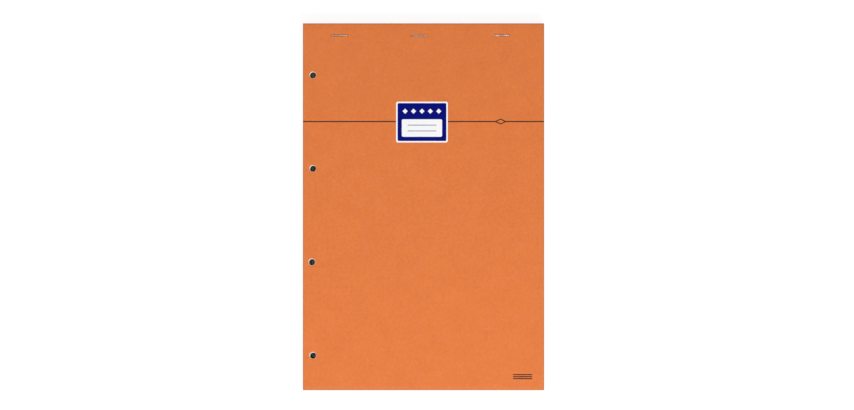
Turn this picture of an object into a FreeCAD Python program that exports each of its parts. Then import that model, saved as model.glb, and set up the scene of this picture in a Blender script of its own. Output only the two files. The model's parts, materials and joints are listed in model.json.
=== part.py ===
"""A head-stapled writing pad with a folding card cover, at its real size, in millimetres.

The pad lies on its back. The origin is the middle of the face that it rests on, +Z points up out of
the cover, +Y points to the stapled head and +X to the right of a reader, so the binder holes are at -X.

One orange card wraps the pad: it starts at the crease under the staples, goes over the head and covers
the whole back. The front cover is the rest of that card, and it turns about the crease. Inside are the
block of ruled sheets and the grey backing board. Three wire staples hold the head together.
"""

import FreeCAD, Part

import math
import os

from FreeCAD import Vector

# Driving dimensions of the pad.
PAD_WIDTH = 206.5
PAD_LENGTH = 314.0
SHEET_COUNT = 80
SHEET_THICKNESS = 0.1
CARD_THICKNESS = 0.35
BOARD_THICKNESS = 1.1

# The four binder holes stand along the left edge, at the usual spacing of 80 mm. From the tail to the head,
# each is this far from the left edge.
HOLES_FROM_LEFT = (8.5, 7.6, 8.5, 8.5)
HOLE_PITCH = 80.0
HOLE_DIAMETER = 5.5
LAST_HOLE_FROM_TAIL = 29.8

# The card is creased below the staples and bent twice round the head.
CREASE_FROM_HEAD = 15.5
CREASE_GAP = 0.1
BEND_INNER_RADIUS = 0.4

# Staples: a flattened wire, its crown pressed a little into the card.
STAPLE_CROWN = 13.8
WIRE_THICKNESS = 0.6
WIRE_WIDTH = 0.9
WIRE_EDGE_RADIUS = 0.28
WIRE_BEND_INNER_RADIUS = 0.35
CROWN_SINK = 0.22
CLINCH_LENGTH = 5.0
STAPLE_CLEARANCE = 0.05
# Each staple: name, distance to the right of the pad's middle, distance from the head, slant in degrees.
STAPLES = (
    ("staple_left", -72.0, 10.3, 0.2),
    ("staple_middle", -4.0, 10.6, -1.0),
    ("staple_right", 66.8, 10.3, 1.8),
)

# Printing on the front cover, as thin layers of ink.
INK_THICKNESS = 0.03
LABEL_WIDTH = 44.3
LABEL_HEIGHT = 35.0
LABEL_RADIUS = 1.6
LABEL_CENTRE_X = -1.35
LABEL_FROM_HEAD = 84.5
LABEL_MARGIN = 1.3
LABEL_LINE_COUNT = 2
LABEL_LINE_THICKNESS = 0.5
LABEL_LINE_INSET = 5.0
WINDOW_HEIGHT = 15.0
WINDOW_INSET = 3.6
WINDOW_RADIUS = 1.2
DIAMOND_COUNT = 5
DIAMOND_SIZE = 4.4
DIAMOND_PITCH = 7.2
COVER_LINE_THICKNESS = 0.95
COVER_LINE_FROM_HEAD = 84.05
LOZENGE_CENTRE_X = 66.0
LOZENGE_WIDTH = 11.0
LOZENGE_HEIGHT = 5.0
CORNER_MARK_BARS = 3
CORNER_MARK_WIDTH = 16.3
CORNER_MARK_PITCH = 1.71
CORNER_MARK_THICKNESS = 0.86
CORNER_MARK_CENTRE_X = 84.75
CORNER_MARK_FROM_TAIL = 11.65

# Places worked out from the driving dimensions.
LEFT = -PAD_WIDTH / 2
HEAD = PAD_LENGTH / 2
TAIL = -PAD_LENGTH / 2
BOARD_BOTTOM = CARD_THICKNESS
BLOCK_BOTTOM = BOARD_BOTTOM + BOARD_THICKNESS
BLOCK_TOP = BLOCK_BOTTOM + SHEET_COUNT * SHEET_THICKNESS
CARD_TOP = BLOCK_TOP + CARD_THICKNESS
BEND_OUTER_RADIUS = BEND_INNER_RADIUS + CARD_THICKNESS
CREASE_Y = HEAD - CREASE_FROM_HEAD
BLOCK_HEAD = HEAD - BEND_OUTER_RADIUS
LABEL_Y = HEAD - LABEL_FROM_HEAD
COVER_LINE_Y = HEAD - COVER_LINE_FROM_HEAD
TO_RIGHT = Vector(1, 0, 0)
TO_HEAD = Vector(0, 1, 0)
UP = Vector(0, 0, 1)


def slab(x_low, x_high, y_low, y_high, z_low, z_high):
    """A square-edged block between two corners."""
    return Part.makeBox(x_high - x_low, y_high - y_low, z_high - z_low, Vector(x_low, y_low, z_low))


def binder_holes():
    """The four drills that go through the whole pad."""
    drills = []
    for number, from_left in enumerate(HOLES_FROM_LEFT):
        foot = Vector(LEFT + from_left, TAIL + LAST_HOLE_FROM_TAIL + number * HOLE_PITCH, -CARD_TOP)
        drills.append(Part.makeCylinder(HOLE_DIAMETER / 2, 3 * CARD_TOP, foot))
    return drills


def quarter_arc(centre, across, radius, start_degrees):
    """Three points of a quarter circle, in the upright plane that holds the direction across."""
    points = []
    for step in (0, 45, 90):
        angle = math.radians(start_degrees + step)
        points.append(centre + across * (radius * math.cos(angle)) + UP * (radius * math.sin(angle)))
    return points


def outline_face(stretches):
    """The face inside a closed outline. A stretch is one corner or the three points of an arc, and straight
    lines join each stretch to the next."""
    edges = []
    for number, stretch in enumerate(stretches):
        if len(stretch) == 3:
            edges.append(Part.Arc(*stretch).toShape())
        following = stretches[(number + 1) % len(stretches)]
        edges.append(Part.makeLine(stretch[-1], following[0]))
    return Part.Face(Part.Wire(edges))


def card_wrap(drills, rooms):
    """The fixed part of the card: the strip under the staples, the head and the whole back."""
    top_centre = Vector(LEFT, BLOCK_HEAD, BLOCK_TOP - BEND_INNER_RADIUS)
    bottom_centre = Vector(LEFT, BLOCK_HEAD, CARD_THICKNESS + BEND_INNER_RADIUS)
    strip_edge = CREASE_Y + CREASE_GAP / 2
    section = outline_face([
        [Vector(LEFT, TAIL, 0)],
        quarter_arc(bottom_centre, TO_HEAD, BEND_OUTER_RADIUS, 270),
        quarter_arc(top_centre, TO_HEAD, BEND_OUTER_RADIUS, 0),
        [Vector(LEFT, strip_edge, CARD_TOP)],
        [Vector(LEFT, strip_edge, BLOCK_TOP)],
        quarter_arc(top_centre, TO_HEAD, BEND_INNER_RADIUS, 0)[::-1],
        quarter_arc(bottom_centre, TO_HEAD, BEND_INNER_RADIUS, 270)[::-1],
        [Vector(LEFT, TAIL, CARD_THICKNESS)],
    ])
    return section.extrude(TO_RIGHT * PAD_WIDTH).cut(drills + rooms)


def front_cover(drills):
    """The part of the card that opens, from the crease to the tail."""
    panel = slab(LEFT, -LEFT, TAIL, CREASE_Y - CREASE_GAP / 2, BLOCK_TOP, CARD_TOP)
    return panel.cut(drills)


def page_block(drills, rooms):
    """The stack of ruled sheets, as one solid."""
    sheets = slab(LEFT, -LEFT, TAIL, BLOCK_HEAD, BLOCK_BOTTOM, BLOCK_TOP)
    return sheets.cut(drills + rooms)


def backing_board(drills, rooms):
    """The grey board between the sheets and the back of the card, dented by the clinched legs."""
    board = slab(LEFT, -LEFT, TAIL, BLOCK_HEAD, BOARD_BOTTOM, BLOCK_BOTTOM)
    return board.cut(drills + rooms)


def half_staple(grow):
    """The right half of a staple at the origin, square-edged, its wire grown by grow all round."""
    half_wire = WIRE_THICKNESS / 2 + grow
    half_width = WIRE_WIDTH / 2 + grow
    crown_z = CARD_TOP - CROWN_SINK + WIRE_THICKNESS / 2
    clinch_z = BOARD_BOTTOM + WIRE_THICKNESS / 2
    leg_x = (STAPLE_CROWN - WIRE_THICKNESS) / 2
    tip_x = leg_x - CLINCH_LENGTH - grow
    bend = WIRE_BEND_INNER_RADIUS + WIRE_THICKNESS / 2
    shoulder = Vector(leg_x - bend, -half_width, crown_z - bend)
    heel = Vector(leg_x - bend, -half_width, clinch_z + bend)
    profile = outline_face([
        [Vector(0, -half_width, crown_z + half_wire)],
        quarter_arc(shoulder, TO_RIGHT, bend + half_wire, 0)[::-1],
        quarter_arc(heel, TO_RIGHT, bend + half_wire, 270)[::-1],
        [Vector(tip_x, -half_width, clinch_z - half_wire)],
        [Vector(tip_x, -half_width, clinch_z + half_wire)],
        quarter_arc(heel, TO_RIGHT, bend - half_wire, 270),
        quarter_arc(shoulder, TO_RIGHT, bend - half_wire, 0),
        [Vector(0, -half_width, crown_z - half_wire)],
    ])
    return profile.extrude(TO_HEAD * (2 * half_width))


def staple_wire(grow):
    """A whole staple at the origin, its legs clinched towards each other."""
    right = half_staple(grow)
    left = right.mirror(Vector(0, 0, 0), TO_RIGHT)
    return right.fuse(left).removeSplitter()


def in_place(wire, x, from_head, slant):
    """A staple's shape, moved from the origin to where it is driven."""
    wire.rotate(Vector(0, 0, 0), UP, slant)
    wire.translate(Vector(x, HEAD - from_head, 0))
    return wire


def staple(x, from_head, slant):
    """A driven and clinched staple, with its wire's long edges rounded."""
    wire = staple_wire(0)
    side = WIRE_WIDTH / 2
    long_edges = [edge for edge in wire.Edges if abs(abs(edge.CenterOfMass.y) - side) < side / 100]
    return in_place(wire.makeFillet(WIRE_EDGE_RADIUS, long_edges), x, from_head, slant)


def staple_room(x, from_head, slant):
    """The room that a staple takes in the card, the sheets and the board, down to the card's back."""
    reach = STAPLE_CROWN
    above_card_back = slab(-reach, reach, -reach, reach, BOARD_BOTTOM, CARD_TOP + reach)
    return in_place(staple_wire(STAPLE_CLEARANCE).common(above_card_back), x, from_head, slant)


def rounded_plate(centre_x, centre_y, width, height, radius, z_low):
    """A flat layer of ink with round corners."""
    x_low = centre_x - width / 2
    y_low = centre_y - height / 2
    plate = slab(x_low, x_low + width, y_low, y_low + height, z_low, z_low + INK_THICKNESS)
    upright = [edge for edge in plate.Edges if abs(edge.tangentAt(edge.FirstParameter).z) > 0.9]
    return plate.makeFillet(radius, upright)


def diamond(centre_x, centre_y, width, height, z_low):
    """A flat four-pointed layer of ink."""
    corners = [
        Vector(centre_x + width / 2, centre_y, z_low),
        Vector(centre_x, centre_y + height / 2, z_low),
        Vector(centre_x - width / 2, centre_y, z_low),
        Vector(centre_x, centre_y - height / 2, z_low),
    ]
    outline = Part.makePolygon(corners + corners[:1])
    return Part.Face(outline).extrude(Vector(0, 0, INK_THICKNESS))


def label_ground():
    """The white ground of the label."""
    return rounded_plate(LABEL_CENTRE_X, LABEL_Y, LABEL_WIDTH, LABEL_HEIGHT, LABEL_RADIUS, CARD_TOP)


def label_blue():
    """The blue of the label: a field with a white writing window and a row of diamonds, and two lines."""
    z_low = CARD_TOP + INK_THICKNESS
    width = LABEL_WIDTH - 2 * LABEL_MARGIN
    height = LABEL_HEIGHT - 2 * LABEL_MARGIN
    field = rounded_plate(LABEL_CENTRE_X, LABEL_Y, width, height, LABEL_RADIUS - LABEL_MARGIN / 2, z_low)
    window_width = width - 2 * WINDOW_INSET
    window_y = LABEL_Y - height / 2 + WINDOW_INSET + WINDOW_HEIGHT / 2
    window = rounded_plate(LABEL_CENTRE_X, window_y, window_width, WINDOW_HEIGHT, WINDOW_RADIUS, z_low)
    diamond_y = (window_y + WINDOW_HEIGHT / 2 + LABEL_Y + height / 2) / 2
    cuts = [window]
    for number in range(DIAMOND_COUNT):
        x = LABEL_CENTRE_X + (number - (DIAMOND_COUNT - 1) / 2) * DIAMOND_PITCH
        cuts.append(diamond(x, diamond_y, DIAMOND_SIZE, DIAMOND_SIZE, z_low))
    inks = [field.cut(cuts)]
    line_half = window_width / 2 - LABEL_LINE_INSET
    for number in range(LABEL_LINE_COUNT):
        y = window_y + WINDOW_HEIGHT / 2 - (number + 1) * WINDOW_HEIGHT / (LABEL_LINE_COUNT + 1)
        low = Vector(LABEL_CENTRE_X - line_half, y - LABEL_LINE_THICKNESS / 2, z_low)
        inks.append(Part.makeBox(2 * line_half, LABEL_LINE_THICKNESS, INK_THICKNESS, low))
    return Part.makeCompound(inks)


def cover_line():
    """The thin dark line across the cover, either side of the label, with an open lozenge on its right."""
    low = COVER_LINE_Y - COVER_LINE_THICKNESS / 2
    high = COVER_LINE_Y + COVER_LINE_THICKNESS / 2
    top = CARD_TOP + INK_THICKNESS
    label_left = LABEL_CENTRE_X - LABEL_WIDTH / 2
    label_right = LABEL_CENTRE_X + LABEL_WIDTH / 2
    left_part = slab(LEFT, label_left, low, high, CARD_TOP, top)
    right_part = slab(label_right, -LEFT, low, high, CARD_TOP, top)
    outer = diamond(LOZENGE_CENTRE_X, COVER_LINE_Y, LOZENGE_WIDTH, LOZENGE_HEIGHT, CARD_TOP)
    shrink = 1 - 2 * COVER_LINE_THICKNESS / LOZENGE_HEIGHT
    inner = diamond(LOZENGE_CENTRE_X, COVER_LINE_Y, LOZENGE_WIDTH * shrink, LOZENGE_HEIGHT * shrink, CARD_TOP)
    right_part = right_part.fuse(outer).cut(inner).removeSplitter()
    return Part.makeCompound([left_part] + right_part.Solids)


def corner_mark():
    """The small sign for ruled paper in the lower right corner: a stack of short bars."""
    middle = TAIL + CORNER_MARK_FROM_TAIL
    bars = []
    for number in range(CORNER_MARK_BARS):
        y = middle + (number - (CORNER_MARK_BARS - 1) / 2) * CORNER_MARK_PITCH
        low = Vector(CORNER_MARK_CENTRE_X - CORNER_MARK_WIDTH / 2, y - CORNER_MARK_THICKNESS / 2, CARD_TOP)
        bars.append(Part.makeBox(CORNER_MARK_WIDTH, CORNER_MARK_THICKNESS, INK_THICKNESS, low))
    return Part.makeCompound(bars)


def build():
    """Every node of the pad, by name."""
    drills = binder_holes()
    rooms = [staple_room(x, from_head, slant) for _, x, from_head, slant in STAPLES]
    nodes = {
        "card_wrap": card_wrap(drills, rooms),
        "front_cover": front_cover(drills),
        "page_block": page_block(drills, rooms),
        "backing_board": backing_board(drills, rooms),
        "label_ground": label_ground(),
        "label_blue": label_blue(),
        "cover_line": cover_line(),
        "corner_mark": corner_mark(),
    }
    for name, x, from_head, slant in STAPLES:
        nodes[name] = staple(x, from_head, slant)
    return nodes


def main():
    os.makedirs("parts", exist_ok=True)
    for name, shape in build().items():
        shape.exportStep(os.path.join("parts", name + ".step"))
        print(name, "valid", shape.isValid(), "solids", len(shape.Solids), "volume", round(shape.Volume, 3))


main()
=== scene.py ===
"""The finish of a head-stapled writing pad: coated card, trimmed paper, grey board, staple wire and print.

The pad lies on its back. X runs to the reader's right, Y to the stapled head and Z up out of the cover.
The places and sizes that the solid model gives are read from the frame, apart from the section of the wire.
The sizes and colours that belong to the finish alone follow, and those worth changing are in the sidebar.
"""

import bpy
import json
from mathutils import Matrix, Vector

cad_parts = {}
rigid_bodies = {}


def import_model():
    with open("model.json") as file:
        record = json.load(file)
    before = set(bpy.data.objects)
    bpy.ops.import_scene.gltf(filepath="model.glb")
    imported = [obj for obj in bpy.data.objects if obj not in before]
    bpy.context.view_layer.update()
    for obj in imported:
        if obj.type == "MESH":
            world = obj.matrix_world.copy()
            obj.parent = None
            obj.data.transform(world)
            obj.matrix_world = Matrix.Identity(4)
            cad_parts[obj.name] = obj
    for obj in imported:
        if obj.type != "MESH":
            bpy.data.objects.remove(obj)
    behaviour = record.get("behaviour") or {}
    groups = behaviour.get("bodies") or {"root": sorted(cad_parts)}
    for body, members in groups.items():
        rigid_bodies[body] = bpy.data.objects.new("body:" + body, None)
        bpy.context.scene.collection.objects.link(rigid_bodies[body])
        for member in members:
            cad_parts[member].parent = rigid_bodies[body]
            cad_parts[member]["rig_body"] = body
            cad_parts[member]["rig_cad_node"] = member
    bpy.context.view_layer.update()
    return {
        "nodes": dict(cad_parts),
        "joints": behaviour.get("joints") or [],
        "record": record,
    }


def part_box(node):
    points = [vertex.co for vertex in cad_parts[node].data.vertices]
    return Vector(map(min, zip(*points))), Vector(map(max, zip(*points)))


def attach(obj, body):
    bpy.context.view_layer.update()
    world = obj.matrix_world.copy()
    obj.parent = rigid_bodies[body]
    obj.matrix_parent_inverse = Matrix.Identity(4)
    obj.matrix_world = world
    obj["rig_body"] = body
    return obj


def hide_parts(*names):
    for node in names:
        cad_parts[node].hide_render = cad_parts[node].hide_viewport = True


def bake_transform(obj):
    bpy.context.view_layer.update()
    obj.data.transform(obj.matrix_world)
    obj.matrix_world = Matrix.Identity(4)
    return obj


bl_info = {
    "name": "Stapled writing pad",
    "version": (1, 0, 0),
    "blender": (4, 5, 0),
    "location": "3D View > Sidebar > Writing pad",
    "description": "Dresses a head-stapled writing pad in card, paper, board, wire and print",
    "category": "Object",
}

import json
import math
import random
from contextlib import contextmanager

import bmesh
import bpy
from bpy.props import FloatProperty, FloatVectorProperty, IntProperty, PointerProperty
from mathutils import Vector

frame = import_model()

MM = 0.001

# Places and sizes that the solid model gives.
COVER_LOW, COVER_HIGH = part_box("front_cover")
WRAP_LOW, WRAP_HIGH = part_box("card_wrap")
BLOCK_LOW, BLOCK_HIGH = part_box("page_block")
BORES = [mount for mount in frame["record"]["mounts"] if mount["kind"] == "bore"]
BORE_RADIUS = BORES[0]["dims"]["r_mm"] * MM
HINGE = Vector(frame["joints"][0]["pos_m"])
CARD = COVER_HIGH.z - COVER_LOW.z
CARD_TOP = COVER_HIGH.z
LEFT, RIGHT = WRAP_LOW.x, WRAP_HIGH.x
HEAD, TAIL = WRAP_HIGH.y, WRAP_LOW.y
FOLD_RADIUS = HEAD - BLOCK_HIGH.y - CARD / 2

# Points nearer than NEAR are at one place. Those of a solid's loose triangles are merged within WELD.
NEAR = 0.01 * MM
WELD = 0.001 * MM

# How deep below a face of the card a point still counts as lying on it.
SKIN = CARD / 4

# Faces that meet at more than the first angle form a corner, and at less than the second are shaded smoothly.
CORNER_ANGLE = math.radians(60)
SMOOTH_ANGLE = math.radians(35)

# A face whose normal rises more than this looks up.
LOOKS_UP = 0.9

# A cutter this tall goes through the whole pad. The card's drill is rounder than the sheets'.
THROUGH = 4 * CARD_TOP
CARD_DRILL, SHEET_DRILL = 48, 32

# Steps of a rounded edge, of a fold at the head, and of the crease from one side to the other.
EDGE_STEPS, FOLD_STEPS, CREASE_STEPS = 3, 6, 14

# The strip is divided finely round the crowns: how far beyond them, and into how many more steps a cell.
DENT_REACH, DENT_CUTS = 2 * MM, 14

# The closed cover's slow wave across and along it: its speed and start, in radians.
WAVE_ACROSS, WAVE_ALONG = (2.2, 0.7), (3.4, 0.4)

# The share of the height between two sheets that is paper.
SHEET_FILL = 0.9

# How the sheets lie: the start of the draws, and the shares of the sheet shift for the swing and the slip.
SEED, SWING, SLIP = 7, 0.5, 0.6

# The section of the staples' flat wire, as the solids have it, and the slits in the sheets for its legs.
WIRE_WIDTH, WIRE_THICKNESS = 0.9 * MM, 0.6 * MM
LEG_SLIT = (0.8 * MM, 1.3 * MM)

# How far each crown is rolled, in degrees. A positive angle leans its top towards the tail.
CROWN_ROLL = {"staple_left": -3, "staple_middle": -14, "staple_right": 15}

# The thickness of print on the top sheet, the length of its cells, and the slits of the tear line.
FILM, FILM_CELL = 0.006 * MM, 20 * MM
SLIT_LENGTH, SLIT_WIDTH, SLIT_GAP = 1.1 * MM, 0.18 * MM, 0.5 * MM

# The floor's side, its distance below the pad, and how far in from the outline the painted shade under the
# pad starts.
FLOOR_SIDE, FLOOR_DROP, FLOOR_EDGE = 6.0, 0.1 * MM, 2 * MM

# Between these heights the sky weakens, where 0 is the horizon and 1 is overhead.
SKY_WEAKENS = (0.55, 0.85)

# The nearest and the farthest that the camera sees, in metres.
CAMERA_SEES = (0.01, 20)

# Every piece of card and paper has its finishes in this order.
OUTSIDE, INSIDE, EDGE = range(3)


class Crown:
    """Where the crown of a staple lies, seen from above."""

    def __init__(self, node):
        self.low, self.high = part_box(node)
        self.middle = (self.low + self.high) / 2
        self.half = (self.high.x - self.low.x) / 2
        points = [v.co for v in frame["nodes"][node].data.vertices if v.co.z > CARD_TOP]
        start, end = ([p.y for p in points if abs(p.x - x) < MM] for x in (self.low.x, self.high.x))
        self.slope = (min(end) + max(end) - min(start) - max(start)) / 4 / self.half


CROWNS = {node: Crown(node) for node in CROWN_ROLL}


def linear_colour(name, what, default):
    """A colour setting, in linear values."""
    return FloatVectorProperty(
        name=name, description=what, default=default, min=0, max=1, size=3, subtype="COLOR",
    )


def number(name, what, default, **kind):
    """A setting that is a number, with its unit or subtype if it has one."""
    return FloatProperty(name=name, description=what, default=default, **kind)


def length(name, what, default):
    """A length setting."""
    return number(name, what, default, unit="LENGTH", precision=5)


class PadSizes(bpy.types.PropertyGroup):
    """Sizes that belong to the finish."""

    cell: length("Card cell", "Spacing of the points that let the card bend", 5 * MM)
    edge_round: length("Cut edge", "Rounding of the card's cut edges", 0.12 * MM)
    rim_round: length("Hole rim", "Rounding of the card at the punched holes", 0.28 * MM)
    crease_width: length("Crease", "Width of the band that folds when the cover opens", 1.4 * MM)
    crease_depth: length("Crease depth", "How deep the crease is scored", 0.05 * MM)
    cover_wave: length("Cover wave", "How far the closed cover waves off the sheets", 0.12 * MM)
    corner_lift: length("Corner lift", "How far the free corners of the cover lift", 0.16 * MM)
    staple_dent: length("Staple dent", "How far the crowns press the card down", 0.3 * MM)
    groove: length("Groove", "Width of the groove pressed beside a crown", 0.4 * MM)
    # Painted shade: the darkening beside each crown stands for the shade in the pressed groove, with some
    # crushed coating.
    crown_shade: length("Bruise", "Width of the crushed coating beside a crown", 0.75 * MM)
    # Painted shade: the darkening along the outline stands for the shade of the cut edges and the head fold,
    # given the look of rubbed print.
    outline_shade: length("Rubbed edge", "Width of the rubbed print along the cover's outline", 1.4 * MM)
    sheet_count: IntProperty(name="Sheets", description="Sheets in the pad", default=80, min=2)
    sheet_shift: length("Sheet shift", "How far a sheet swings or slips at the tail", 0.1 * MM)
    holes_right: length("Sheet holes right", "How far right of the card's holes the sheets' are", 0.35 * MM)
    holes_down: length("Sheet holes down", "How far below the card's holes the sheets' are", 0.38 * MM)
    line_pitch: length("Line pitch", "Distance between ruled lines", 8 * MM)
    line_width: length("Line width", "Width of a ruled line", 0.3 * MM)
    margin: length("Margin", "Distance of the margin line from the left edge", 30 * MM)
    tear_line: length("Tear line", "Distance of the tear line from the head", 17 * MM)
    first_line: length("First line", "Distance of the first ruled line from the tear line", 22 * MM)
    last_line: length("Last line", "Least distance of the last ruled line from the tail", 12 * MM)


class PadColours(bpy.types.PropertyGroup):
    """Colours of the finish."""

    card: linear_colour("Card", "Coated outside of the card", (0.747, 0.190, 0.041))
    card_inside: linear_colour("Card inside", "Uncoated inside of the card", (0.74, 0.70, 0.62))
    card_core: linear_colour("Card core", "Cut edge of the card", (0.73, 0.53, 0.38))
    paper: linear_colour("Paper", "Writing paper", (0.83, 0.825, 0.79))
    board: linear_colour("Board", "Grey board behind the sheets", (0.30, 0.27, 0.225))
    # Painted reflection: the wire is zinc, and its warm tint stands for the orange card reflected in it.
    wire: linear_colour("Wire", "Staple wire", (0.81, 0.70, 0.575))
    white_ink: linear_colour("White print", "Ground of the label", (0.96, 0.955, 0.955))
    blue_ink: linear_colour("Blue print", "Field of the label", (0.001, 0.0035, 0.182))
    dark_ink: linear_colour("Dark print", "Lines and marks on the cover", (0.04, 0.013, 0.008))
    ruling: linear_colour("Ruling", "Ruled lines", (0.36, 0.45, 0.66))
    margin_line: linear_colour("Margin line", "Margin line", (0.70, 0.27, 0.30))


class PadStage(bpy.types.PropertyGroup):
    """The floor, the lamps and the camera."""

    floor: linear_colour("Floor", "Pale floor", (0.65, 0.65, 0.65))
    floor_under: linear_colour("Floor under the pad", "What is seen through the holes", (0.68, 0.76, 0.66))
    floor_glow: number("Floor glow", "What the camera sees added to the floor", 0.86)
    floor_dim: number("Floor seen", "Share of the floor's colour that the camera sees", 0.3)
    key: number("Key lamp", "Power of the stronger lamp", 20.2, subtype="POWER")
    fill: number("Fill lamp", "Power of the weaker lamp", 6.4, subtype="POWER")
    sky_low: number("Sky low down", "Strength of the sky near the horizon", 0.835)
    sky_high: number("Sky overhead", "Strength of the sky overhead", 0.12)
    lens: number("Lens", "Focal length in millimetres", 300)
    sensor: number("Sensor", "Sensor width in millimetres", 36)
    view_width: length("View width", "Width of the picture at the height of the cover", 730.87 * MM)
    view_x: length("View centre X", "Where the camera stands, to the right of the pad's middle", 2.97 * MM)
    view_y: length("View centre Y", "Where the camera stands, towards the head", 1.53 * MM)


def sizes():
    """The sizes of the finish, as the sidebar has them."""
    return bpy.context.scene.pad_sizes


def colours():
    """The colours of the finish, as the sidebar has them."""
    return bpy.context.scene.pad_colours


def sheet_pitch():
    """The height from one sheet to the next."""
    return (BLOCK_HIGH.z - BLOCK_LOW.z) / sizes().sheet_count


class Term:
    """What a shader node gives. Arithmetic on it adds Math nodes to the same tree."""

    def __init__(self, finish, socket):
        self.finish = finish
        self.socket = socket

    def _math(self, operation, *terms):
        return self.finish.node("ShaderNodeMath", {"operation": operation}, terms)

    def __add__(self, other):
        return self._math("ADD", self, other)

    def __sub__(self, other):
        return self._math("SUBTRACT", self, other)

    def __rsub__(self, other):
        return self._math("SUBTRACT", other, self)

    def __mul__(self, other):
        return self._math("MULTIPLY", self, other)

    def __abs__(self):
        return self._math("ABSOLUTE", self)

    def most(self, other):
        """The larger of two values."""
        return self._math("MAXIMUM", self, other)

    __radd__ = __add__
    __rmul__ = __mul__


class Finish:
    """One material. Its Principled shader is fed by name, and node adds any other node."""

    def __init__(self, name):
        self.material = bpy.data.materials.new(name)
        self.material.use_nodes = True
        self.tree = self.material.node_tree
        self.shader = self.tree.nodes["Principled BSDF"]
        self.place = self.node("ShaderNodeTexCoord", output="Object")

    def node(self, kind, settings=None, values=(), output=0):
        """Adds a node. Its settings are set first, then its sockets, given in order or by name or number."""
        made = self.tree.nodes.new(kind)
        for key, setting in (settings or {}).items():
            setattr(made, key, setting)
        pairs = values.items() if isinstance(values, dict) else enumerate(values)
        for key, value in pairs:
            self.feed(made.inputs[key], value)
        return Term(self, made.outputs[output])

    def feed(self, socket, value):
        """Links a term to a socket, or sets a plain number or colour on it."""
        if isinstance(value, Term):
            self.tree.links.new(value.socket, socket)
        elif socket.type == "RGBA":
            socket.default_value = (*value[:3], 1)
        else:
            socket.default_value = value

    def set(self, **values):
        """Feeds the Principled shader. Base_Color stands for the socket Base Color."""
        for name, value in values.items():
            self.feed(self.shader.inputs[name.replace("_", " ")], value)
        return self.material

    def axis(self, letter):
        """One of the object coordinates."""
        return self.node("ShaderNodeSeparateXYZ", None, [self.place], letter)

    def stretched(self, x, y, z, start=(0, 0, 0)):
        """Object coordinates, stretched by a factor along each axis and counted from a start."""
        values = {"Vector": self.place, "Location": start, "Scale": (x, y, z)}
        return self.node("ShaderNodeMapping", None, values)

    def noise(self, size, detail, roughness, place=None):
        """Noise from about 0 to 1 with blotches of about a size, in metres."""
        values = {"Vector": place or self.place, "Scale": 1 / size, "Detail": detail, "Roughness": roughness}
        return self.node("ShaderNodeTexNoise", None, values)

    def band(self, value, low, high, to_low=0.0, to_high=1.0):
        """A value carried from one range to another and held inside it."""
        return self.node("ShaderNodeMapRange", None, (value, low, high, to_low, to_high))

    def mix(self, share, first, second):
        """From the first colour to the second as share goes from 0 to 1."""
        return self.node("ShaderNodeMix", {"data_type": "RGBA"}, {0: share, 6: first, 7: second}, 2)

    def mottle(self, noise, first, second, low=0.3, high=0.7):
        """From the first colour to the second as noise goes through the middle of its range."""
        return self.mix(self.band(noise, low, high), first, second)

    def bump(self, height, depth, strength):
        """A normal from a height between 0 and 1 that stands for a depth in metres."""
        values = {"Strength": strength, "Distance": depth, "Height": height}
        return self.node("ShaderNodeBump", None, values)


def shade(colour, factor):
    """A colour made darker or lighter by a factor."""
    return tuple(min(1.0, channel * factor) for channel in colour)


def tint(colour, red, green, blue):
    """A colour with each channel scaled by its own factor."""
    return tuple(min(1.0, channel * scale) for channel, scale in zip(colour, (red, green, blue)))


def once(maker):
    """Lets several pieces share the material that a maker makes."""
    made = {}

    def shared():
        if maker.__name__ not in made:
            made[maker.__name__] = maker()
        return made[maker.__name__]

    return shared


def card_grain(finish):
    """The height of the fine fibres that show through the coating."""
    fibres = finish.noise(0.9 * MM, 3, 0.6, finish.stretched(1, 0.55, 1))
    pits = finish.noise(0.28 * MM, 2, 0.6)
    return fibres * 0.65 + pits * 0.35


def on_front(finish):
    """From 0 on the sides and the back of the pad to 1 on its front."""
    return finish.band(finish.axis("Z"), CARD_TOP - 3 * CARD, CARD_TOP - 1.5 * CARD)


def near_crowns(finish, width):
    """From 1 at the side of a staple's crown to 0 at a width from it."""
    x, y = finish.axis("X"), finish.axis("Y")
    marks = []
    for crown in CROWNS.values():
        along = x - crown.middle.x
        aside = abs(y - crown.middle.y - along * crown.slope) - WIRE_WIDTH / 2
        marks.append(finish.band(aside.most(abs(along) - crown.half), 0, width, 1, 0))
    return marks[0].most(marks[1]).most(marks[2]) * on_front(finish)


def near_outline(finish, width):
    """From 0 at a width inside the outline of the front to about 1 on it, unevenly."""
    sides = finish.band(abs(finish.axis("X")), RIGHT - width, RIGHT)
    ends = finish.band(abs(finish.axis("Y")), HEAD - width, HEAD)
    patches = finish.band(finish.noise(3 * MM, 3, 0.6), 0.36, 0.56, 0.55, 1)
    return sides.most(ends) * patches * on_front(finish)


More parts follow.
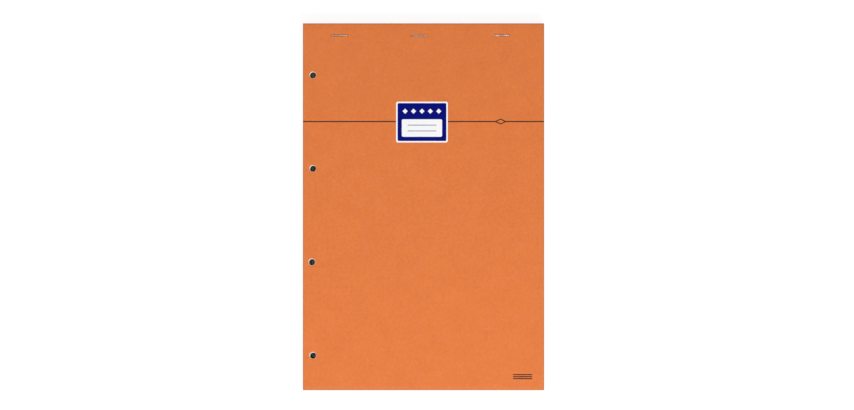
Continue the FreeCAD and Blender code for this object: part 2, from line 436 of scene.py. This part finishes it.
@once
def coated_card():
    """Orange coated card: an even print over fibres, slightly mottled at every scale, with painted shade
    along the outline and beside the crowns.
    """
    finish = Finish("coated_card")
    card = tuple(colours().card)
    speckle = finish.noise(0.8 * MM, 3, 0.65)
    mottle = finish.noise(2.6 * MM, 2, 0.55)
    cloud = finish.noise(14 * MM, 2, 0.5)
    tone = speckle * 0.46 + mottle * 0.34 + cloud * 0.2
    even = finish.mottle(tone, tint(card, 0.905, 0.853, 0.74), tint(card, 1.095, 1.147, 1.26))
    warmth = finish.noise(9 * MM, 3, 0.6)
    warm_tone = finish.mottle(warmth, (0.998, 1.006, 1.09), (1.002, 0.994, 0.91), 0.35, 0.65)
    multiply = {"data_type": "RGBA", "blend_type": "MULTIPLY"}
    whole = finish.node("ShaderNodeMix", multiply, {0: 1.0, 6: even, 7: warm_tone}, 2)
    # Painted shade along the outline of the front, given the look of rubbed print: it darkens the card's
    # edges and the fold at the head.
    outline_shaded = finish.mix(near_outline(finish, sizes().outline_shade), whole, tint(card, 0.62, 0.95, 1.6))
    # Painted shade beside each staple's crown, where the card is pressed into a groove, with some crushed
    # coating.
    base = finish.mix(near_crowns(finish, sizes().crown_shade), outline_shaded, shade(card, 0.7))
    grain = card_grain(finish)
    roughness = finish.band(grain, 0.3, 0.7, 0.56, 0.68)
    relief = finish.bump(grain, 0.02 * MM, 0.6)
    return finish.set(Base_Color=base, Roughness=roughness, Specular_IOR_Level=0.38, Normal=relief)


@once
def card_inside():
    """The uncoated inside of the card: off-white, with loose fibres."""
    finish = Finish("card_inside")
    plain = tuple(colours().card_inside)
    fibres = finish.noise(1.6 * MM, 4, 0.65, finish.stretched(1, 0.3, 1))
    cloud = finish.noise(9 * MM, 2, 0.5)
    base = finish.mottle(fibres * 0.6 + cloud * 0.4, shade(plain, 0.93), shade(plain, 1.04))
    return finish.set(Base_Color=base, Roughness=0.88, Normal=finish.bump(fibres, 0.03 * MM, 0.6))


@once
def card_core():
    """The cut edge of the card, with the coating's colour drawn a little over the pale core."""
    finish = Finish("card_core")
    core = tuple(colours().card_core)
    layers = finish.noise(0.35 * MM, 3, 0.6, finish.stretched(0.15, 0.15, 2))
    base = finish.mottle(layers, shade(core, 0.86), shade(core, 1.1))
    return finish.set(Base_Color=base, Roughness=0.9, Normal=finish.bump(layers, 0.03 * MM, 0.7))


@once
def sheet_face():
    """Smooth writing paper."""
    finish = Finish("sheet_face")
    paper = tuple(colours().paper)
    cloud = finish.noise(6 * MM, 3, 0.55)
    fibres = finish.noise(0.5 * MM, 3, 0.6)
    base = finish.mottle(cloud, shade(paper, 0.98), shade(paper, 1.01))
    return finish.set(Base_Color=base, Roughness=0.82, Normal=finish.bump(fibres, 0.01 * MM, 0.5))


@once
def sheet_edge():
    """The trimmed edges of the sheets: each sheet a little lighter or darker, with streaks of the blade."""
    finish = Finish("sheet_edge")
    paper = tuple(colours().paper)
    layers = finish.noise(0.3 * MM, 2, 0.6, finish.stretched(0.012, 0.012, 1.6))
    streaks = finish.noise(1.4 * MM, 3, 0.6, finish.stretched(1, 1, 0.08))
    tone = layers * 0.62 + streaks * 0.38
    base = finish.mottle(tone, shade(paper, 0.74), shade(paper, 1.03), 0.32, 0.68)
    return finish.set(Base_Color=base, Roughness=0.9, Normal=finish.bump(tone, 0.05 * MM, 0.6))


@once
def grey_board():
    """Grey board, pressed from waste paper: flecks and coarse fibres."""
    finish = Finish("grey_board")
    board = tuple(colours().board)
    fibres = finish.noise(1.1 * MM, 4, 0.7, finish.stretched(1, 0.4, 1.4))
    flecks = finish.band(finish.noise(0.7 * MM, 1, 0.5), 0.66, 0.72)
    plain = finish.mottle(fibres, shade(board, 0.8), shade(board, 1.2))
    base = finish.mix(flecks * 0.6, plain, shade(board, 0.4))
    return finish.set(Base_Color=base, Roughness=0.94, Normal=finish.bump(fibres, 0.08 * MM, 0.8))


@once
def drawn_wire():
    """Drawn and zinc-coated wire with faint lengthwise marks, warmed in colour as a painted reflection of the
    orange card.
    """
    finish = Finish("drawn_wire")
    wire = tuple(colours().wire)
    marks = finish.noise(0.5 * MM, 3, 0.6, finish.stretched(0.12, 2.2, 2.2))
    cloud = finish.noise(4 * MM, 2, 0.5, finish.stretched(1, 1, 1, start=(0, 0.17, 0)))
    tone = marks * 0.35 + cloud * 0.65
    base = finish.mottle(tone, shade(wire, 0.48), shade(wire, 1.16), 0.36, 0.64)
    roughness = finish.band(cloud, 0.36, 0.64, 0.68, 0.28)
    relief = finish.bump(marks, 0.02 * MM, 0.5)
    return finish.set(Base_Color=base, Metallic=1.0, Roughness=roughness, Normal=relief)


def ink(name, colour, roughness, dark, light, gloss=0.3):
    """Print on the card: an even film that follows the card's grain and is less glossy than plastic."""
    finish = Finish(name)
    film = finish.noise(1.2 * MM, 3, 0.6)
    base = finish.mottle(film, shade(colour, dark), shade(colour, light))
    relief = finish.bump(card_grain(finish), 0.015 * MM, 0.5)
    return finish.set(Base_Color=base, Roughness=roughness, Specular_IOR_Level=gloss, Normal=relief)


@once
def printed_white():
    return ink("printed_white", tuple(colours().white_ink), 0.5, 0.97, 1.02)


@once
def printed_blue():
    return ink("printed_blue", tuple(colours().blue_ink), 0.32, 0.85, 1.2, 0.15)


@once
def printed_dark():
    return ink("printed_dark", tuple(colours().dark_ink), 0.5, 0.8, 1.5)


@once
def printed_ruling():
    return ink("printed_ruling", tuple(colours().ruling), 0.8, 0.94, 1.06)


@once
def printed_margin():
    return ink("printed_margin", tuple(colours().margin_line), 0.8, 0.94, 1.06)


@once
def tear_slit():
    """The shadow in the slits of the tear line."""
    finish = Finish("tear_slit")
    shadow = shade(tuple(colours().paper), 0.42)
    ragged = finish.noise(0.4 * MM, 2, 0.6)
    base = finish.mottle(ragged, shade(shadow, 0.7), shade(shadow, 1.4))
    return finish.set(Base_Color=base, Roughness=0.95)


PRINT_FINISHES = {
    "label_ground": (printed_white, "white_print"),
    "label_blue": (printed_blue, "blue_print"),
    "cover_line": (printed_dark, "dark_print"),
    "corner_mark": (printed_dark, "dark_print"),
}


def activate(piece):
    """Makes a piece the only one selected, and the active one."""
    bpy.ops.object.select_all(action="DESELECT")
    piece.select_set(True)
    bpy.context.view_layer.objects.active = piece


@contextmanager
def editing(piece, part="EDGE"):
    """Opens a piece in edit mode with nothing selected, and hands over its mesh."""
    activate(piece)
    bpy.ops.object.mode_set(mode="EDIT")
    bpy.ops.mesh.select_mode(type=part)
    bpy.ops.mesh.select_all(action="DESELECT")
    yield bmesh.from_edit_mesh(piece.data)
    bpy.ops.object.mode_set(mode="OBJECT")


def choose(mesh, elements, wanted):
    """Selects the points, edges or faces for which wanted is true."""
    for element in elements:
        element.select_set(bool(wanted(element)))
    mesh.select_flush_mode()


def modify(piece, kind, **settings):
    """Adds a modifier with its settings and applies it."""
    modifier = piece.modifiers.new(kind, kind)
    for key, setting in settings.items():
        setattr(modifier, key, setting)
    activate(piece)
    bpy.ops.object.modifier_apply(modifier=modifier.name)


def repeat(piece, count, step):
    """Repeats a piece's mesh along a step."""
    modify(
        piece, "ARRAY", count=count, use_relative_offset=False, use_constant_offset=True,
        constant_offset_displace=step,
    )


def named(name, size=(1, 1, 1)):
    """The primitive just added, under its name, with its size and place moved into its mesh."""
    piece = bpy.context.object
    piece.name = name
    piece.data.name = name
    piece.scale = size
    bpy.ops.object.transform_apply(location=True, rotation=True, scale=True)
    return piece


def flat_grid(name, low, high, cell_x, cell_y):
    """A flat grid between two corners, at the height of the first, with cells of about the sizes given."""
    size = high - low
    bpy.ops.object.select_all(action="DESELECT")
    bpy.ops.mesh.primitive_grid_add(
        x_subdivisions=max(1, round(size.x / cell_x)),
        y_subdivisions=max(1, round(size.y / cell_y)),
        size=1,
        location=((low.x + high.x) / 2, (low.y + high.y) / 2, low.z),
    )
    return named(name, (size.x, size.y, 1))


def dress(piece, *finishes):
    """Gives a piece its materials, in order."""
    for finish in finishes:
        piece.data.materials.append(finish)


def thicken(piece, thickness, offset=-1):
    """Gives a surface its thickness, below the face that points out, and finishes for its inside and edge."""
    modify(
        piece, "SOLIDIFY", thickness=thickness, offset=offset, use_even_offset=True, use_rim=True,
        material_offset=INSIDE, material_offset_rim=EDGE,
    )


def drill(piece, sides, right=0.0, down=0.0):
    """Cuts the binder holes, with the finish of a cut edge, a little aside if the drill wasn't set true."""
    cutters = []
    for bore in BORES:
        bpy.ops.object.select_all(action="DESELECT")
        x, y, _ = bore["pos_m"]
        bpy.ops.mesh.primitive_cylinder_add(
            vertices=sides, radius=BORE_RADIUS, depth=THROUGH, location=(x + right, y - down, 0),
        )
        cutters.append(named("drill"))
    cut_away(piece, cutters)


def cut_away(piece, cutters):
    """Takes the cutters' shapes out of a piece and deletes them."""
    activate(cutters[0])
    for cutter in cutters:
        cutter.select_set(True)
    bpy.ops.object.join()
    cutter = bpy.context.object
    for polygon in cutter.data.polygons:
        polygon.material_index = EDGE
    modify(piece, "BOOLEAN", operation="DIFFERENCE", solver="EXACT", object=cutter)
    bpy.data.objects.remove(cutter)


def round_edges(piece, width, wanted, finish):
    """Rounds the corners of a piece for which wanted is true, in one of its finishes."""
    with editing(piece) as mesh:
        choose(mesh, mesh.edges, lambda edge: is_corner(edge) and wanted(edge))
        bpy.ops.transform.edge_bevelweight(value=1)
    modify(
        piece, "BEVEL", width=width, segments=EDGE_STEPS, limit_method="WEIGHT", material=finish,
        use_clamp_overlap=False,
    )
    weights = piece.data.attributes.get("bevel_weight_edge")
    if weights:
        piece.data.attributes.remove(weights)


def round_outline(piece, is_joined):
    """Rounds the cut edges of the card all round, but not at the holes or where is_joined is true."""
    for finish in (OUTSIDE, INSIDE):
        round_edges(
            piece, sizes().edge_round,
            lambda edge: has_finish(edge, finish) and not on_rim(edge) and not is_joined(edge), finish,
        )


def has_finish(edge, finish):
    """Whether one of the faces at an edge has a finish."""
    return any(face.material_index == finish for face in edge.link_faces)


def on_rim(edge):
    """Whether an edge lies on the rim of a binder hole."""
    for bore in BORES:
        x, y, _ = bore["pos_m"]
        if all(math.hypot(v.co.x - x, v.co.y - y) < BORE_RADIUS + 2 * NEAR for v in edge.verts):
            return True
    return False


def outer_rim(edge):
    """Whether an edge is the rim of a hole in the outside of the card."""
    height = edge.verts[0].co.z
    return on_rim(edge) and min(height, CARD_TOP - height) < SKIN


def is_corner(edge):
    """Whether an edge joins two faces at about a right angle."""
    return len(edge.link_faces) == 2 and edge.calc_face_angle(0) > CORNER_ANGLE


def move_points(piece, axis, shifts):
    """Moves a piece's points along an axis, each by its own shift in metres, as far as the shifts go."""
    for sign in (1, -1):
        most = max(sign * shift for shift in shifts)
        if most <= 0:
            continue
        group = piece.vertex_groups.new(name="moved")
        for index, shift in enumerate(shifts):
            if sign * shift > 0:
                group.add([index], sign * shift / most, "REPLACE")
        modify(piece, "DISPLACE", direction=axis, mid_level=0, strength=sign * most, vertex_group=group.name)
        piece.vertex_groups.clear()


def raise_points(piece, height_at):
    """Moves a piece's points up or down by what height_at gives for each, in metres."""
    move_points(piece, "Z", [height_at(vertex.co) for vertex in piece.data.vertices])


def smooth(piece):
    """Shades a piece smoothly across its gentle angles."""
    activate(piece)
    bpy.ops.object.shade_smooth_by_angle(angle=SMOOTH_ANGLE)


def slice_across(piece, axis, places, wanted):
    """Adds points to the wanted faces where planes across an axis cut them."""
    normal = [0, 0, 0]
    normal[axis] = 1
    for place in places:
        with editing(piece, "FACE") as mesh:
            choose(mesh, mesh.faces, wanted)
            bpy.ops.mesh.bisect(plane_co=[place * share for share in normal], plane_no=normal)


def places_between(low, high, pitch):
    """Evenly spaced places between two ends, without the ends, at about a pitch."""
    count = max(1, round((high - low) / pitch))
    return [low + (high - low) * place / count for place in range(1, count)]


def cover_rise(point):
    """How far the closed cover stands off the sheets at a point: a slow wave and lifted free corners."""
    along = min(1.0, max(0.0, (HINGE.y - point.y) / (HINGE.y - TAIL)))
    side = point.x / RIGHT
    across_wave = math.sin(WAVE_ACROSS[0] * side + WAVE_ACROSS[1])
    along_wave = math.cos(WAVE_ALONG[0] * along + WAVE_ALONG[1])
    wave = 0.5 + 0.5 * across_wave * along_wave
    corner = along ** 5 * side ** 4
    return sizes().cover_wave * along ** 0.5 * wave + sizes().corner_lift * corner


def crease_drop(point):
    """How deep the crease is scored into the outside of the card at a point."""
    if point.z < CARD_TOP - SKIN:
        return 0.0
    score = sizes().crease_width / 5
    away = (point.y - HINGE.y) / score
    return -sizes().crease_depth * math.exp(-away * away)


def staple_drop(point):
    """How far the crowns press the outside of the card down at a point."""
    if point.z < CARD_TOP - SKIN:
        return 0.0
    deepest = 0.0
    for crown in CROWNS.values():
        along = point.x - crown.middle.x
        past_end = max(0.0, abs(along) - crown.half)
        aside = max(0.0, abs(point.y - crown.middle.y - along * crown.slope) - WIRE_WIDTH / 2)
        away = math.hypot(past_end, aside) / sizes().groove
        deepest = max(deepest, math.exp(-away * away))
    return -sizes().staple_dent * deepest


class PAD_OT_front_cover(bpy.types.Operator):
    """Make the front cover, from the crease to the tail"""

    bl_idname = "pad.front_cover"
    bl_label = "Front cover"

    def execute(self, context):
        seam = HINGE.y - sizes().crease_width / 2
        low, high = Vector((LEFT, TAIL, CARD_TOP)), Vector((RIGHT, seam, CARD_TOP))
        cover = flat_grid("cover_panel", low, high, sizes().cell, sizes().cell)
        dress(cover, coated_card(), card_inside(), card_core())
        thicken(cover, CARD)
        drill(cover, CARD_DRILL)
        round_edges(cover, sizes().rim_round, outer_rim, EDGE)
        round_outline(cover, lambda edge: all(v.co.y > seam - NEAR for v in edge.verts))
        raise_points(cover, cover_rise)
        smooth(cover)
        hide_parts("front_cover")
        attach(cover, "cover")
        return {"FINISHED"}


class PAD_OT_crease(bpy.types.Operator):
    """Make the scored band of card at the hinge, where the cover folds when it opens"""

    bl_idname = "pad.crease"
    bl_label = "Crease"

    def execute(self, context):
        half = sizes().crease_width / 2
        low = Vector((LEFT, HINGE.y - half, CARD_TOP))
        high = Vector((RIGHT, HINGE.y + half, CARD_TOP))
        crease = flat_grid("crease", low, high, sizes().cell, 2 * half / CREASE_STEPS)
        dress(crease, coated_card(), card_inside(), card_core())
        thicken(crease, CARD)
        raise_points(crease, crease_drop)
        smooth(crease)
        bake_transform(crease)
        return {"FINISHED"}


class PAD_OT_card_wrap(bpy.types.Operator):
    """Make the rest of the card: the strip under the staples, the head and the back"""

    bl_idname = "pad.card_wrap"
    bl_label = "Card wrap"

    def execute(self, context):
        seam = HINGE.y + sizes().crease_width / 2
        middle = CARD / 2
        low, high = Vector((LEFT, TAIL, middle)), Vector((RIGHT, HEAD - middle, middle))
        wrap = flat_grid("card_wrap_dressed", low, high, sizes().cell, sizes().cell)
        dress(wrap, coated_card(), card_inside(), card_core())
        with editing(wrap) as mesh:
            choose(mesh, mesh.edges, lambda edge: all(v.co.y > high.y - NEAR for v in edge.verts))
            bpy.ops.mesh.extrude_region_move(TRANSFORM_OT_translate={"value": (0, 0, CARD_TOP - CARD)})
            bpy.ops.mesh.extrude_region_move(TRANSFORM_OT_translate={"value": (0, seam - high.y, 0)})
        with editing(wrap):
            bpy.ops.mesh.select_all(action="SELECT")
            bpy.ops.mesh.normals_make_consistent(inside=False)
        self.check_outward(wrap)
        self.fold(wrap, high.y)
        self.refine_strip(wrap)
        thicken(wrap, CARD, 0)
        drill(wrap, CARD_DRILL)
        round_edges(wrap, sizes().rim_round, outer_rim, EDGE)
        round_outline(wrap, lambda edge: is_seam(edge, seam))
        raise_points(wrap, staple_drop)
        smooth(wrap)
        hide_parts("card_wrap")
        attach(wrap, "pad")
        return {"FINISHED"}

    def check_outward(self, wrap):
        """Turns the surface over if its back doesn't look down."""
        if wrap.data.polygons[0].normal.z > 0:
            with editing(wrap, "FACE"):
                bpy.ops.mesh.select_all(action="SELECT")
                bpy.ops.mesh.flip_normals()

    def fold(self, wrap, head_y):
        """Rounds the two folds at the head."""
        with editing(wrap) as mesh:
            choose(mesh, mesh.edges, lambda edge: is_corner(edge) and edge.verts[0].co.y > head_y - NEAR)
            bpy.ops.mesh.bevel(offset=FOLD_RADIUS, segments=FOLD_STEPS, affect="EDGES")

    def refine_strip(self, wrap):
        """Adds points round each staple, where the card is dented."""
        y_low = min(crown.low.y for crown in CROWNS.values()) - DENT_REACH
        y_high = max(crown.high.y for crown in CROWNS.values()) + DENT_REACH
        slice_across(wrap, 1, (y_low, y_high), lambda face: face.normal.z > LOOKS_UP)

        def near_staple(face):
            at = face.calc_center_median()
            if face.normal.z < LOOKS_UP or not y_low < at.y < y_high:
                return False
            return any(abs(at.x - crown.middle.x) < crown.half + sizes().cell for crown in CROWNS.values())

        with editing(wrap, "FACE") as mesh:
            choose(mesh, mesh.faces, near_staple)
            bpy.ops.mesh.subdivide(number_cuts=DENT_CUTS)


def is_seam(edge, seam):
    """Whether an edge lies on the end of the strip that meets the crease."""
    return all(abs(v.co.y - seam) < NEAR and v.co.z > CARD_TOP - 2 * CARD for v in edge.verts)


class PAD_OT_sheets(bpy.types.Operator):
    """Make the stack of sheets"""

    bl_idname = "pad.sheets"
    bl_label = "Sheets"

    def execute(self, context):
        count = sizes().sheet_count
        pitch = sheet_pitch()
        low = Vector((BLOCK_LOW.x, BLOCK_LOW.y, BLOCK_LOW.z + SHEET_FILL * pitch))
        high = Vector((BLOCK_HIGH.x, BLOCK_HIGH.y, low.z))
        sheets = flat_grid("sheets", low, high, high.x - low.x, high.y - low.y)
        dress(sheets, sheet_face(), sheet_face(), sheet_edge())
        thicken(sheets, SHEET_FILL * pitch)
        drill(sheets, SHEET_DRILL, sizes().holes_right, sizes().holes_down)
        self.pierce(sheets)
        points = len(sheets.data.vertices)
        repeat(sheets, count, (0, 0, pitch))
        self.shift(sheets, points, count)
        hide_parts("page_block")
        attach(sheets, "pad")
        return {"FINISHED"}

    def pierce(self, sheet):
        """Cuts the slits that the staples' legs go through."""
        cutters = []
        for crown in CROWNS.values():
            for side in (-1, 1):
                leg = side * (crown.half - WIRE_THICKNESS / 2)
                place = (crown.middle.x + leg, crown.middle.y + leg * crown.slope, 0)
                bpy.ops.object.select_all(action="DESELECT")
                bpy.ops.mesh.primitive_cube_add(size=1, location=place)
                cutters.append(named("leg_slit", (*LEG_SLIT, THROUGH)))
        cut_away(sheet, cutters)

    def shift(self, sheets, points, count):
        """Lets each sheet but the top one swing and slip a little below the staples."""
        draw = random.Random(SEED)
        aside, along = [], []
        vertices = sheets.data.vertices
        for sheet in range(count - 1):
            swing = draw.gauss(0, SWING) * sizes().sheet_shift
            slip = draw.uniform(-1, 0) * sizes().sheet_shift * SLIP
            for vertex in vertices[sheet * points:(sheet + 1) * points]:
                down = (HEAD - vertex.co.y) / (HEAD - TAIL)
                aside.append(min(RIGHT, max(LEFT, vertex.co.x + swing * down)) - vertex.co.x)
                along.append(-slip * down)
        move_points(sheets, "X", aside)
        move_points(sheets, "Y", along)


class PAD_OT_ruling(bpy.types.Operator):
    """Print the top sheet's lines and margin, and lay the painted shadow of its tear line's slits"""

    bl_idname = "pad.ruling"
    bl_label = "Ruling and tear line"

    def execute(self, context):
        tear_y = HEAD - sizes().tear_line
        half = sizes().line_width / 2
        first = tear_y - sizes().first_line
        count = int((first - TAIL - sizes().last_line) / sizes().line_pitch) + 1
        lines = self.film("ruled_lines", LEFT, RIGHT, first - half, first + half)
        dress(lines, printed_ruling())
        repeat(lines, count, (0, -sizes().line_pitch, 0))
        margin_x = LEFT + sizes().margin
        margin = self.film("margin_line", margin_x - half, margin_x + half, TAIL, tear_y)
        dress(margin, printed_margin())
        # The slits of the tear line are dark films on the top sheet: painted shadow where the paper is cut.
        half_slit = SLIT_WIDTH / 2
        tear = self.film("tear_line", LEFT, LEFT + SLIT_LENGTH, tear_y - half_slit, tear_y + half_slit)
        dress(tear, tear_slit())
        pitch = SLIT_LENGTH + SLIT_GAP
        repeat(tear, int((RIGHT - LEFT) / pitch), (pitch, 0, 0))
        for piece in (lines, margin, tear):
            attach(piece, "pad")
        return {"FINISHED"}

    def film(self, name, x_low, x_high, y_low, y_high):
        """A film on the top sheet, between two places across the pad and two along it."""
        top = BLOCK_HIGH.z - (1 - SHEET_FILL) * sheet_pitch() + FILM
        low, high = Vector((x_low, y_low, top)), Vector((x_high, y_high, top))
        piece = flat_grid(name, low, high, FILM_CELL, FILM_CELL)
        thicken(piece, FILM)
        return piece


class PAD_OT_board(bpy.types.Operator):
    """Finish the grey board behind the sheets"""

    bl_idname = "pad.board"
    bl_label = "Backing board"

    def execute(self, context):
        board = frame["nodes"]["backing_board"]
        board.data.materials.clear()
        dress(board, grey_board())
        return {"FINISHED"}


def copied(node, name):
    """A copy of a solid of the frame, as one connected mesh with no finish."""
    activate(frame["nodes"][node])
    bpy.ops.object.duplicate()
    piece = bpy.context.object
    piece.name = piece.data.name = name
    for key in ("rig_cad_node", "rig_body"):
        if key in piece:
            del piece[key]
    piece.parent = None
    piece.data.materials.clear()
    with editing(piece, "VERT"):
        bpy.ops.mesh.select_all(action="SELECT")
        bpy.ops.mesh.remove_doubles(threshold=WELD)
    return piece


class PAD_OT_staples(bpy.types.Operator):
    """Bend the staples' crowns and finish the wire"""

    bl_idname = "pad.staples"
    bl_label = "Staples"

    def execute(self, context):
        for node, crown in CROWNS.items():
            staple = copied(node, node + "_wire")
            dress(staple, drawn_wire())
            self.roll(staple, crown, math.radians(CROWN_ROLL[node]))
            smooth(staple)
            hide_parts(node)
            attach(staple, "pad")
        return {"FINISHED"}

    def roll(self, staple, crown, angle):
        """Turns the crown about its length. A positive angle leans its top towards the tail."""
        axis = Vector((crown.middle.x, crown.middle.y, crown.high.z - WIRE_THICKNESS / 2))
        shoulder = axis.z - WIRE_THICKNESS * 2 / 3
        with editing(staple, "VERT") as mesh:
            choose(mesh, mesh.verts, lambda vertex: vertex.co.z > shoulder)
            bpy.ops.transform.rotate(
                value=-angle, orient_axis="X", orient_type="GLOBAL", center_override=axis,
            )
            top = max(vertex.co.z for vertex in mesh.verts)
            bpy.ops.transform.translate(value=(0, 0, crown.high.z - top))


class PAD_OT_printing(bpy.types.Operator):
    """Lay the printing on the cover, so that it follows the card"""

    bl_idname = "pad.printing"
    bl_label = "Printing on the cover"

    def execute(self, context):
        for node, (finish, slot) in PRINT_FINISHES.items():
            piece = copied(node, node + "_film")
            dress(piece, finish())
            low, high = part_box(node)
            for axis in (0, 1):
                places = places_between(low[axis], high[axis], 2 * sizes().cell)
                slice_across(piece, axis, places, lambda face: True)
            raise_points(piece, cover_rise)
            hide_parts(node)
            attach(piece, "cover")
        return {"FINISHED"}


class PAD_OT_stage(bpy.types.Operator):
    """Set the floor, the lamps, the sky and the camera"""

    bl_idname = "pad.stage"
    bl_label = "Stage"

    def execute(self, context):
        stage = context.scene.pad_stage
        self.floor(stage)
        self.lamp("key_lamp", stage.key, side=0.6, place=(0.5, -1.27, 1.2))
        self.lamp("fill_lamp", stage.fill, side=1.4, place=(-1.1, 0, 1.3))
        self.sky(context.scene, stage)
        self.camera(context.scene, stage)
        context.scene.view_settings.view_transform = "Standard"
        return {"FINISHED"}

    def floor(self, stage):
        """A pale floor just under the pad, with painted shadow beneath the pad and its holes. The camera and
        the metal see it a little brighter than it is.
        """
        bpy.ops.object.select_all(action="DESELECT")
        bpy.ops.mesh.primitive_plane_add(size=FLOOR_SIDE, location=(0, 0, -FLOOR_DROP))
        floor = named("floor")
        finish = Finish("floor")
        black, white = (0, 0, 0), (1, 1, 1)
        beside = finish.band(abs(finish.axis("X")), RIGHT - FLOOR_EDGE, RIGHT)
        beyond = finish.band(abs(finish.axis("Y")), HEAD - FLOOR_EDGE, HEAD)
        clear = beside.most(beyond)
        rays = ("Is Camera Ray", "Is Glossy Ray", "Is Transmission Ray")
        seen, mirrored, through = (finish.node("ShaderNodeLightPath", output=ray) for ray in rays)
        bright = clear * seen.most(mirrored).most(through)
        distance = {"operation": "DISTANCE"}
        # Painted shadow: under the pad the floor is dark, lighter towards the middle of each hole and darkest
        # at its wall.
        lit = None
        for bore in BORES:
            x, y, _ = bore["pos_m"]
            away = finish.node("ShaderNodeVectorMath", distance, [finish.place, (x, y, 0)], "Value")
            spot = finish.band(away, 0.3 * BORE_RADIUS, BORE_RADIUS, 1, 0.2)
            lit = lit.most(spot) if lit else spot
        under = finish.mix(lit, black, tuple(stage.floor_under))
        pale = finish.mix(bright, tuple(stage.floor), shade(tuple(stage.floor), stage.floor_dim))
        base = finish.mix(clear, under, pale)
        glow = finish.mix(bright, black, white)
        finish.set(Base_Color=base, Roughness=0.9, Emission_Color=glow, Emission_Strength=stage.floor_glow)
        dress(floor, finish.material)

    def lamp(self, name, power, side, place):
        """A square soft lamp that looks at the pad."""
        bpy.ops.object.select_all(action="DESELECT")
        bpy.ops.object.light_add(type="AREA", location=place)
        lamp = bpy.context.object
        lamp.name = name
        lamp.data.energy = power
        lamp.data.size = side
        lamp.rotation_mode = "QUATERNION"
        lamp.rotation_quaternion = (-Vector(place)).to_track_quat("-Z", "Y")

    def sky(self, scene, stage):
        """A plain white sky, weaker overhead, so that it doesn't veil what faces up."""
        scene.world = scene.world or bpy.data.worlds.new("sky")
        scene.world.use_nodes = True
        nodes, links = scene.world.node_tree.nodes, scene.world.node_tree.links
        towards = nodes.new("ShaderNodeTexCoord")
        apart = nodes.new("ShaderNodeSeparateXYZ")
        falloff = nodes.new("ShaderNodeMapRange")
        links.new(towards.outputs["Generated"], apart.inputs[0])
        links.new(apart.outputs["Z"], falloff.inputs["Value"])
        links.new(falloff.outputs[0], nodes["Background"].inputs["Strength"])
        names = ("From Min", "From Max", "To Min", "To Max")
        for name, value in zip(names, (*SKY_WEAKENS, stage.sky_low, stage.sky_high)):
            falloff.inputs[name].default_value = value
        nodes["Background"].inputs["Color"].default_value = (1, 1, 1, 1)

    def camera(self, scene, stage):
        """A camera straight above the pad, as far away as makes the picture as wide as it should be."""
        away = stage.view_width * stage.lens / stage.sensor
        bpy.ops.object.select_all(action="DESELECT")
        bpy.ops.object.camera_add(location=(stage.view_x, stage.view_y, CARD_TOP + away), rotation=(0, 0, 0))
        camera = bpy.context.object
        camera.name = "camera"
        camera.data.lens = stage.lens
        camera.data.sensor_width = stage.sensor
        camera.data.clip_start, camera.data.clip_end = CAMERA_SEES
        scene.camera = camera


PIECES = (
    PAD_OT_front_cover, PAD_OT_crease, PAD_OT_card_wrap, PAD_OT_sheets, PAD_OT_ruling,
    PAD_OT_board, PAD_OT_staples, PAD_OT_printing, PAD_OT_stage,
)


class PAD_PT_pieces(bpy.types.Panel):
    """Lists the pieces of the pad and the settings of its finish"""

    bl_idname = "PAD_PT_pieces"
    bl_label = "Writing pad"
    bl_space_type = "VIEW_3D"
    bl_region_type = "UI"
    bl_category = "Writing pad"

    def draw(self, context):
        for piece in PIECES:
            self.layout.operator(piece.bl_idname)
        for group in (context.scene.pad_sizes, context.scene.pad_colours, context.scene.pad_stage):
            column = self.layout.column()
            for key in type(group).__annotations__:
                column.prop(group, key)


CLASSES = (PadSizes, PadColours, PadStage, *PIECES, PAD_PT_pieces)


def register():
    for kind in CLASSES:
        bpy.utils.register_class(kind)
    bpy.types.Scene.pad_sizes = PointerProperty(type=PadSizes)
    bpy.types.Scene.pad_colours = PointerProperty(type=PadColours)
    bpy.types.Scene.pad_stage = PointerProperty(type=PadStage)


def unregister():
    del bpy.types.Scene.pad_sizes, bpy.types.Scene.pad_colours, bpy.types.Scene.pad_stage
    for kind in reversed(CLASSES):
        bpy.utils.unregister_class(kind)


def main():
    """Makes every piece in order."""
    register()
    bpy.ops.pad.front_cover()
    bpy.ops.pad.crease()
    bpy.ops.pad.card_wrap()
    bpy.ops.pad.sheets()
    bpy.ops.pad.ruling()
    bpy.ops.pad.board()
    bpy.ops.pad.staples()
    bpy.ops.pad.printing()
    bpy.ops.pad.stage()


if __name__ == "__main__":
    main()
